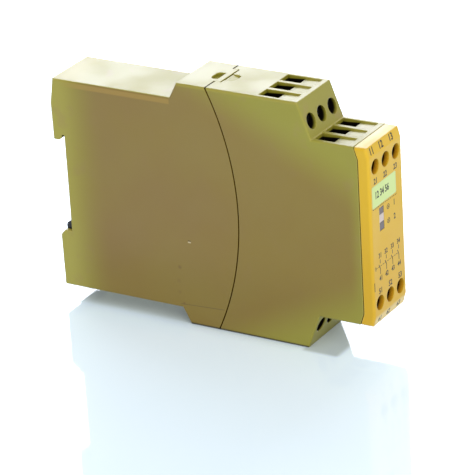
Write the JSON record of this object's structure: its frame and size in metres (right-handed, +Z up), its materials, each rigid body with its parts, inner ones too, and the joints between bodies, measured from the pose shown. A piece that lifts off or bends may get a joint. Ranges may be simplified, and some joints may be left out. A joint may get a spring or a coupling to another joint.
{
  "type": "safety relay",
  "caption": "Narrow rail-mounted safety relay with a stepped housing, screw terminals in tiers above and below, a yellow front and a sprung rail latch.",
  "frame": {"origin": "centre of the bounding box at the flat underside", "axes": "+Z up, +Y from the yellow front to the rail side at the back, +X across the rail"},
  "size_m": [0.0226, 0.121, 0.087],
  "materials": {
    "housing_olive": "fine-grained moulded plastic, olive beige, slightly browned",
    "cover_yellow": "satin moulded plastic, warm yellow",
    "label_paper": "printed film, pale green",
    "lens_smoke": "smoked clear moulding",
    "lens_pale": "milky moulding",
    "lamp_body": "cast resin",
    "latch_black": "satin black",
    "spring_steel": "drawn wire",
    "board_laminate": "solder mask on glass laminate",
    "black_moulding": "matt moulding",
    "relay_casing": "smooth moulding",
    "capacitor_sleeve": "shrunk sleeve",
    "varistor_coat": "dipped coating",
    "resistor_body": "lacquered",
    "contact_brass": "tinned",
    "screw_zinc": "zinc plated",
    "cage_steel": "zinc plated"
  },
  "bodies": {
    "housing": {"rear_shell": "housing_olive", "front_shell": "housing_olive", "front_cover": "cover_yellow", "equipment_label": "label_paper", "signal_lens_1": "lens_smoke", "signal_lens_2": "lens_pale", "signal_lens_3": "lens_smoke", "signal_lamp_1": "lamp_body", "signal_lamp_2": "lamp_body", "signal_lamp_3": "lamp_body", "latch_spring": "spring_steel", "main_board": "board_laminate", "terminal_board_upper": "board_laminate", "terminal_board_lower": "board_laminate", "link_header_upper": "black_moulding", "link_header_lower": "black_moulding", "relay_base_upper": "black_moulding", "relay_base_lower": "black_moulding", "relay_case_upper": "relay_casing", "relay_case_lower": "relay_casing", "smoothing_capacitor": "capacitor_sleeve", "bridge_rectifier": "black_moulding", "input_fuse": "black_moulding", "surge_varistor": "varistor_coat", "logic_chip_1": "black_moulding", "logic_chip_2": "black_moulding", "series_resistors": "resistor_body", "contact_bars_top_rear": "contact_brass", "contact_bars_top_front": "contact_brass", "contact_bars_bottom_front": "contact_brass", "contact_bars_bottom_rear": "contact_brass"},
    "screw_01": {"terminal_screw_01": "screw_zinc"},
    "cage_01": {"clamp_cage_01": "cage_steel"},
    "screw_02": {"terminal_screw_02": "screw_zinc"},
    "cage_02": {"clamp_cage_02": "cage_steel"},
    "screw_03": {"terminal_screw_03": "screw_zinc"},
    "cage_03": {"clamp_cage_03": "cage_steel"},
    "screw_04": {"terminal_screw_04": "screw_zinc"},
    "cage_04": {"clamp_cage_04": "cage_steel"},
    "screw_05": {"terminal_screw_05": "screw_zinc"},
    "cage_05": {"clamp_cage_05": "cage_steel"},
    "screw_06": {"terminal_screw_06": "screw_zinc"},
    "cage_06": {"clamp_cage_06": "cage_steel"},
    "screw_07": {"terminal_screw_07": "screw_zinc"},
    "cage_07": {"clamp_cage_07": "cage_steel"},
    "screw_08": {"terminal_screw_08": "screw_zinc"},
    "cage_08": {"clamp_cage_08": "cage_steel"},
    "screw_09": {"terminal_screw_09": "screw_zinc"},
    "cage_09": {"clamp_cage_09": "cage_steel"},
    "screw_10": {"terminal_screw_10": "screw_zinc"},
    "cage_10": {"clamp_cage_10": "cage_steel"},
    "screw_11": {"terminal_screw_11": "screw_zinc"},
    "cage_11": {"clamp_cage_11": "cage_steel"},
    "screw_12": {"terminal_screw_12": "screw_zinc"},
    "cage_12": {"clamp_cage_12": "cage_steel"},
    "latch": {"rail_latch": "latch_black"}
  },
  "joints": [
    {"name": "screw_01_turn", "type": "hinge", "parent": "housing", "child": "screw_01", "pos_m": [-0.007, -0.0354, 0.0796], "axis": [0, 1, 0], "range_deg": [0, 1800]},
    {"name": "cage_01_draw", "type": "slide", "parent": "housing", "child": "cage_01", "axis": [0, -1, 0], "range_m": [0, 0.0025]},
    {"name": "screw_02_turn", "type": "hinge", "parent": "housing", "child": "screw_02", "pos_m": [0, -0.0354, 0.0796], "axis": [0, 1, 0], "range_deg": [0, 1800]},
    {"name": "cage_02_draw", "type": "slide", "parent": "housing", "child": "cage_02", "axis": [0, -1, 0], "range_m": [0, 0.0025]},
    {"name": "screw_03_turn", "type": "hinge", "parent": "housing", "child": "screw_03", "pos_m": [0.007, -0.0354, 0.0796], "axis": [0, 1, 0], "range_deg": [0, 1800]},
    {"name": "cage_03_draw", "type": "slide", "parent": "housing", "child": "cage_03", "axis": [0, -1, 0], "range_m": [0, 0.0025]},
    {"name": "screw_04_turn", "type": "hinge", "parent": "housing", "child": "screw_04", "pos_m": [-0.007, -0.0553, 0.06743], "axis": [0, 1, 0], "range_deg": [0, 1800]},
    {"name": "cage_04_draw", "type": "slide", "parent": "housing", "child": "cage_04", "axis": [0, -1, 0], "range_m": [0, 0.0025]},
    {"name": "screw_05_turn", "type": "hinge", "parent": "housing", "child": "screw_05", "pos_m": [0, -0.0553, 0.06743], "axis": [0, 1, 0], "range_deg": [0, 1800]},
    {"name": "cage_05_draw", "type": "slide", "parent": "housing", "child": "cage_05", "axis": [0, -1, 0], "range_m": [0, 0.0025]},
    {"name": "screw_06_turn", "type": "hinge", "parent": "housing", "child": "screw_06", "pos_m": [0.007, -0.0553, 0.06743], "axis": [0, 1, 0], "range_deg": [0, 1800]},
    {"name": "cage_06_draw", "type": "slide", "parent": "housing", "child": "cage_06", "axis": [0, -1, 0], "range_m": [0, 0.0025]},
    {"name": "screw_07_turn", "type": "hinge", "parent": "housing", "child": "screw_07", "pos_m": [-0.007, -0.0553, 0.01957], "axis": [0, 1, 0], "range_deg": [0, 1800]},
    {"name": "cage_07_draw", "type": "slide", "parent": "housing", "child": "cage_07", "axis": [0, -1, 0], "range_m": [0, 0.0025]},
    {"name": "screw_08_turn", "type": "hinge", "parent": "housing", "child": "screw_08", "pos_m": [0, -0.0553, 0.01957], "axis": [0, 1, 0], "range_deg": [0, 1800]},
    {"name": "cage_08_draw", "type": "slide", "parent": "housing", "child": "cage_08", "axis": [0, -1, 0], "range_m": [0, 0.0025]},
    {"name": "screw_09_turn", "type": "hinge", "parent": "housing", "child": "screw_09", "pos_m": [0.007, -0.0553, 0.01957], "axis": [0, 1, 0], "range_deg": [0, 1800]},
    {"name": "cage_09_draw", "type": "slide", "parent": "housing", "child": "cage_09", "axis": [0, -1, 0], "range_m": [0, 0.0025]},
    {"name": "screw_10_turn", "type": "hinge", "parent": "housing", "child": "screw_10", "pos_m": [-0.007, -0.0354, 0.0074], "axis": [0, 1, 0], "range_deg": [0, 1800]},
    {"name": "cage_10_draw", "type": "slide", "parent": "housing", "child": "cage_10", "axis": [0, -1, 0], "range_m": [0, 0.0025]},
    {"name": "screw_11_turn", "type": "hinge", "parent": "housing", "child": "screw_11", "pos_m": [0, -0.0354, 0.0074], "axis": [0, 1, 0], "range_deg": [0, 1800]},
    {"name": "cage_11_draw", "type": "slide", "parent": "housing", "child": "cage_11", "axis": [0, -1, 0], "range_m": [0, 0.0025]},
    {"name": "screw_12_turn", "type": "hinge", "parent": "housing", "child": "screw_12", "pos_m": [0.007, -0.0354, 0.0074], "axis": [0, 1, 0], "range_deg": [0, 1800]},
    {"name": "cage_12_draw", "type": "slide", "parent": "housing", "child": "cage_12", "axis": [0, -1, 0], "range_m": [0, 0.0025]},
    {"name": "latch_release", "type": "slide", "parent": "housing", "child": "latch", "axis": [0, 0, -1], "range_m": [0, 0.0028], "stiffness_N_per_m": 1500, "springref_m": -0.002, "deforming": ["latch_spring"]}
  ],
  "couplings": [
    {"joint": "screw_01_turn", "follows": "cage_01_draw", "rad_per_m": 12566},
    {"joint": "screw_02_turn", "follows": "cage_02_draw", "rad_per_m": 12566},
    {"joint": "screw_03_turn", "follows": "cage_03_draw", "rad_per_m": 12566},
    {"joint": "screw_04_turn", "follows": "cage_04_draw", "rad_per_m": 12566},
    {"joint": "screw_05_turn", "follows": "cage_05_draw", "rad_per_m": 12566},
    {"joint": "screw_06_turn", "follows": "cage_06_draw", "rad_per_m": 12566},
    {"joint": "screw_07_turn", "follows": "cage_07_draw", "rad_per_m": 12566},
    {"joint": "screw_08_turn", "follows": "cage_08_draw", "rad_per_m": 12566},
    {"joint": "screw_09_turn", "follows": "cage_09_draw", "rad_per_m": 12566},
    {"joint": "screw_10_turn", "follows": "cage_10_draw", "rad_per_m": 12566},
    {"joint": "screw_11_turn", "follows": "cage_11_draw", "rad_per_m": 12566},
    {"joint": "screw_12_turn", "follows": "cage_12_draw", "rad_per_m": 12566}
  ]
}
